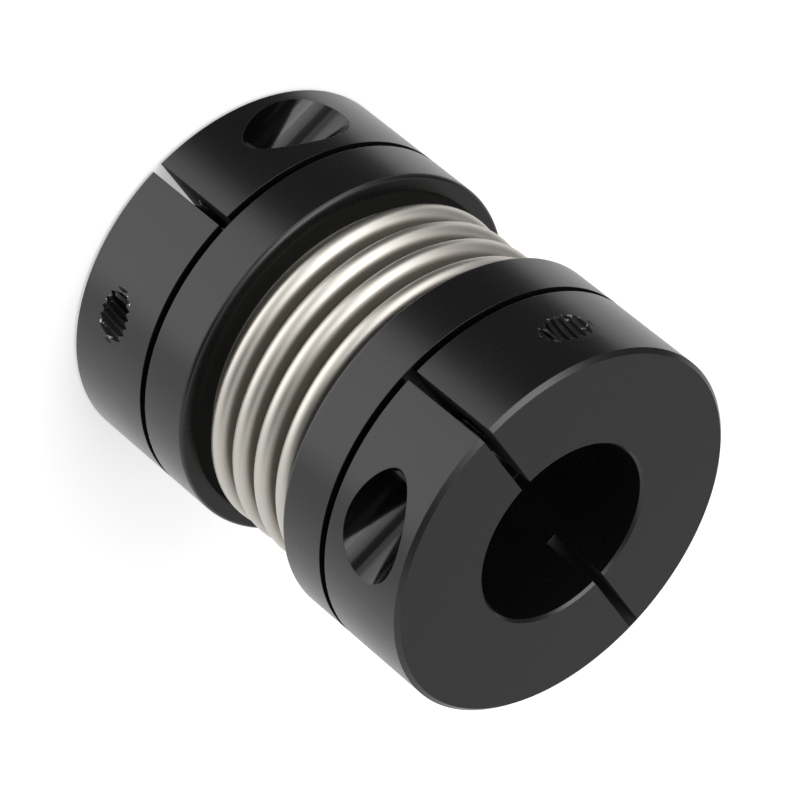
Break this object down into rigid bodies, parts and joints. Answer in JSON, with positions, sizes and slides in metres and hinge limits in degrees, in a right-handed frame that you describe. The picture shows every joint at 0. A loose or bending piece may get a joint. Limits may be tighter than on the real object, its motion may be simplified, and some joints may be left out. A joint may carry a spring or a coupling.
{
  "type": "bellows coupling",
  "caption": "Flexible shaft coupling: two slotted clamp hubs with screws, joined by a thin corrugated metal bellows.",
  "frame": {"origin": "centre of the bottom end face, on the shaft line", "axes": "+Z along the shaft line from the lower hub to the upper hub; the clamp slots of both hubs face -Y; the clamp screws lie along X"},
  "size_m": [0.0412, 0.0412, 0.0515],
  "materials": {
    "black_anodised_aluminium": "black anodised, satin",
    "stainless_bellows": "stainless, satin, warm grey",
    "black_oxide_steel": "black oxide, oiled"
  },
  "bodies": {
    "root": {"lower_hub": "black_anodised_aluminium", "upper_hub": "black_anodised_aluminium", "bellows": "stainless_bellows", "lower_clamp_screw": "black_oxide_steel", "upper_clamp_screw": "black_oxide_steel"}
  },
  "joints": []
}
